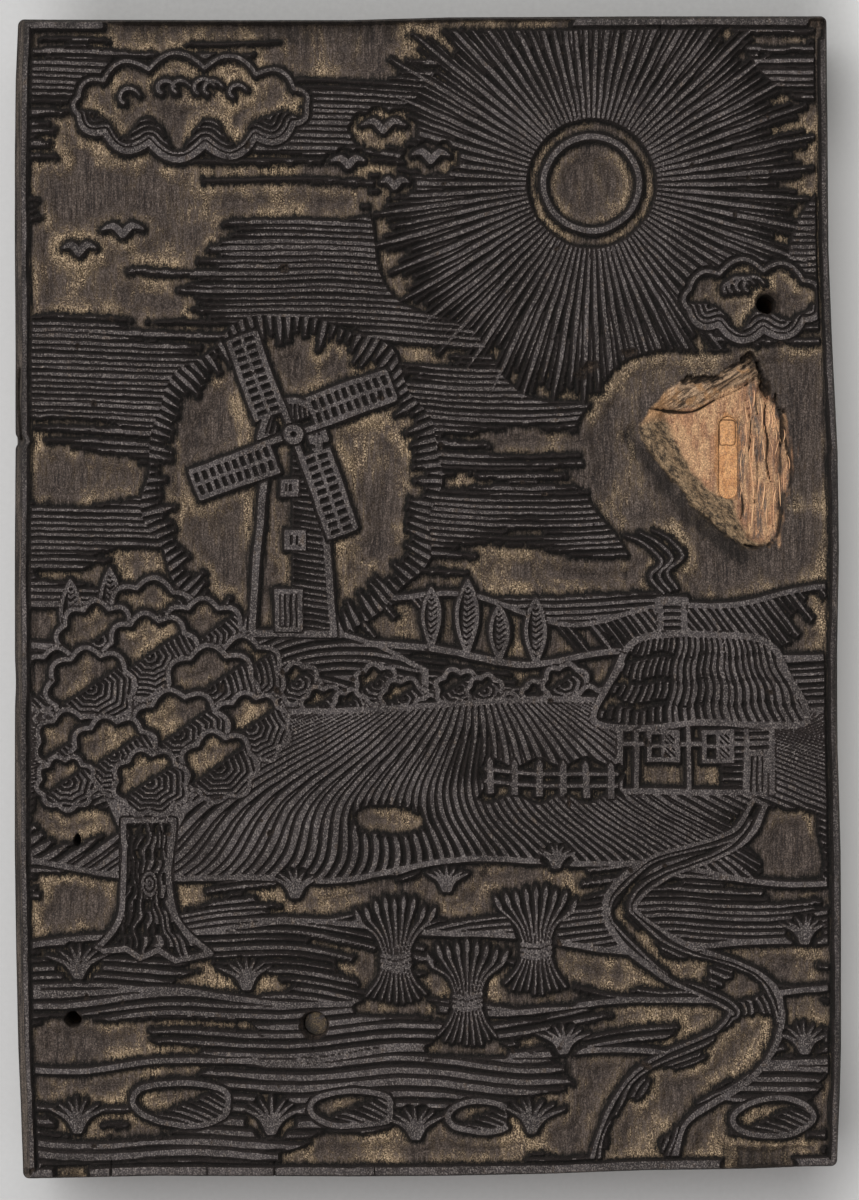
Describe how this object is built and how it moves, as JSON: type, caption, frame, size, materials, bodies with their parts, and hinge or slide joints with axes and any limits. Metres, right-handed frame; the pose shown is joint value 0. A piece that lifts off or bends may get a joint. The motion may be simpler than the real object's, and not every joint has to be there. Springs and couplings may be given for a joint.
{
  "type": "letterpress printing block",
  "caption": "Carved relief printing block in one side-grain wooden plank, with a raised border, hatched picture, nail holes, a sunk peg and a broken-out hollow.",
  "frame": {"origin": "middle of the back face, which the block lies on", "axes": "+Z out of the printing face, +Y towards the head of the picture along the long side, +X to the right as the block is seen"},
  "size_m": [0.118, 0.166, 0.0233],
  "materials": {
    "inked_fruit_wood": "dry ink on worn side grain, brown wood on the cleared floors",
    "peg_end_grain": "dry end grain",
    "packed_bore_dust": "pale, matt and crumbly"
  },
  "bodies": {
    "root": {"carved_plank": "inked_fruit_wood", "wooden_peg": "peg_end_grain", "gallery_filling": "packed_bore_dust"}
  },
  "joints": []
}
